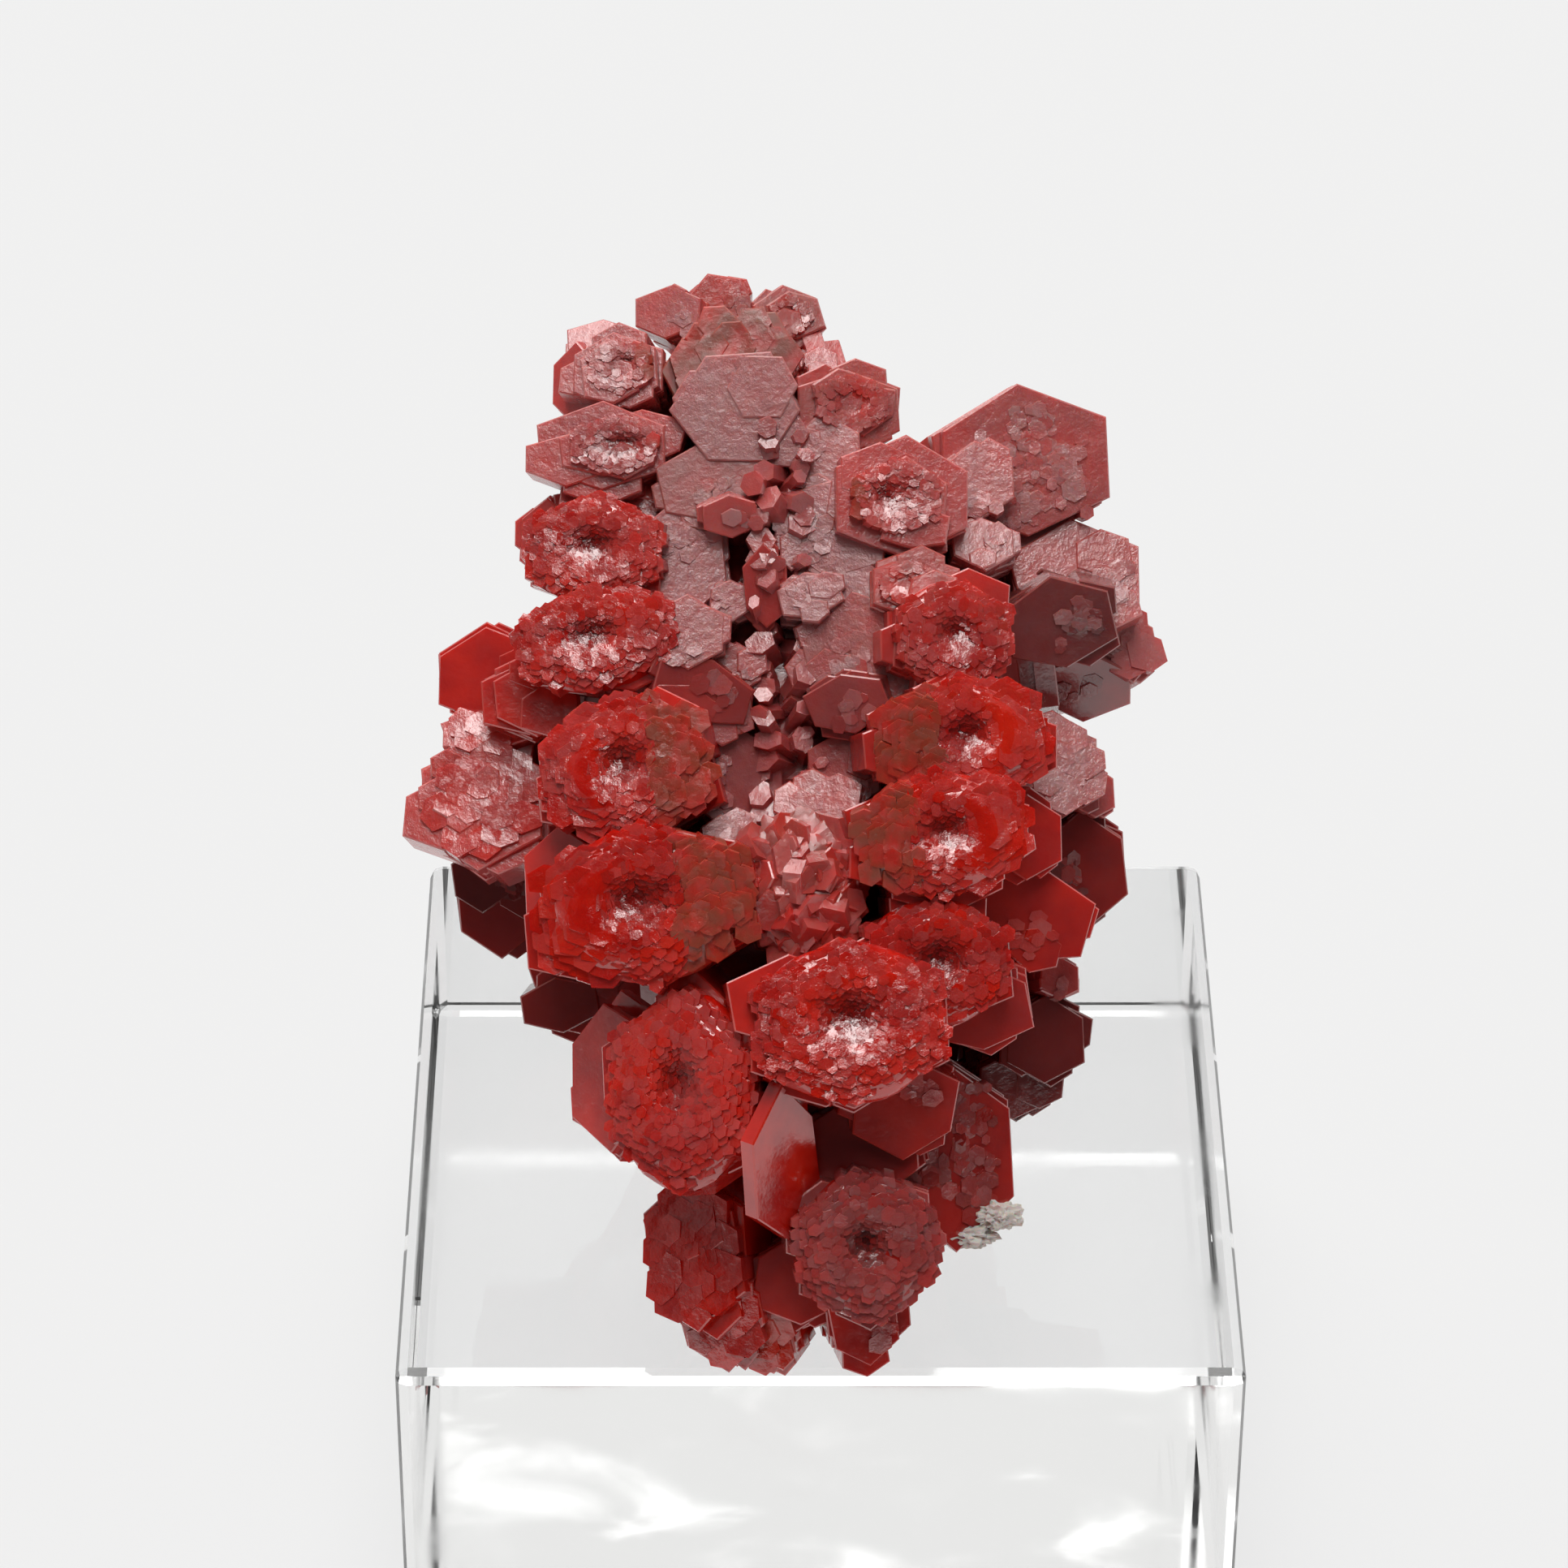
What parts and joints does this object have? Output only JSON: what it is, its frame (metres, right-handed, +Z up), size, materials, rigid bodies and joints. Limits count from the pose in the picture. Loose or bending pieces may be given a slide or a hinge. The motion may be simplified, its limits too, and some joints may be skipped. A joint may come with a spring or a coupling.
{
  "type": "vanadinite specimen on a display block",
  "caption": "Cluster of intergrown red six-sided tabular crystals in two overlapping rows, leaning back on a square clear block.",
  "frame": {"origin": "middle of the display block's flat underside, on the surface that the block stands on", "axes": "+Z up, +X to the viewer's right, -Y towards the viewer who faces the specimen"},
  "size_m": [0.03, 0.0318, 0.0447],
  "materials": {
    "vanadinite": "gloss",
    "clear_acrylic": "polished"
  },
  "bodies": {
    "root": {"crystal_cluster": "vanadinite", "display_block": "clear_acrylic"}
  },
  "joints": []
}
